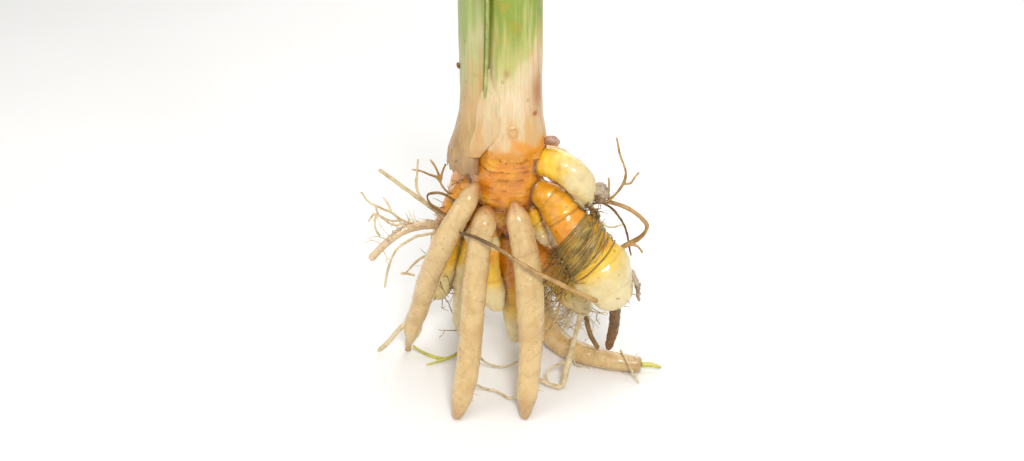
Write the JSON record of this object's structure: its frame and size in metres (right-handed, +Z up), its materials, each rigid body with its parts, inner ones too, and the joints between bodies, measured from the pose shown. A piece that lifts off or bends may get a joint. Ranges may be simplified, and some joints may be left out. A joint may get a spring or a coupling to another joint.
{
  "type": "turmeric root",
  "caption": "Fresh turmeric clump with branching fingers, thick storage roots and fine roots, standing on its roots, with the cut base of its leafy shoot.",
  "frame": {"origin": "middle of the clump's bounding box, on the surface it stands on", "axes": "+Z up along the shoot, -Y towards the side with the three thick storage roots, +X towards the large banded finger"},
  "size_m": [0.1146, 0.0938, 0.1651],
  "materials": {
    "flesh": "wet smooth skin, orange to cream",
    "sheath": "smooth satin, fine lengthwise ribs",
    "leaf": "smooth satin, fine lengthwise ribs",
    "storage": "smooth moist skin",
    "pale": "matt",
    "dry": "dry and fibrous",
    "core": "smooth",
    "bud": "matt"
  },
  "bodies": {
    "root": {"back_right_tuft": "pale", "back_root_tuft": "pale", "brown_root_stub": "dry", "centre_rootlet_lower": "pale", "centre_rootlet_upper": "pale", "crossing_root": "dry", "fibre_band": "dry", "forked_brown_root": "dry", "left_climbing_root": "pale", "left_hanging_root": "pale", "left_hooked_root": "dry", "left_root_tuft": "pale", "left_short_root": "pale", "left_upper_tuft": "pale", "outer_leaf_stalk": "leaf", "pale_floor_root": "pale", "rhizome": "flesh", "right_floor_thread": "pale", "right_kinked_root": "pale", "right_thread_root": "dry", "right_upper_root": "pale", "root_core": "core", "side_bud": "bud", "stalk_scale": "dry", "stem": "sheath", "storage_root_back_left": "storage", "storage_root_back_right": "storage", "storage_root_centre": "storage", "storage_root_floor": "storage", "storage_root_left": "storage", "storage_root_right": "storage", "storage_root_side": "storage", "straight_root": "pale", "tan_thread_root": "pale", "tip_husk": "dry", "tip_scale": "dry", "torn_sheath_strip": "leaf", "white_bar_root": "pale", "yellow_floor_root": "core"}
  },
  "joints": []
}
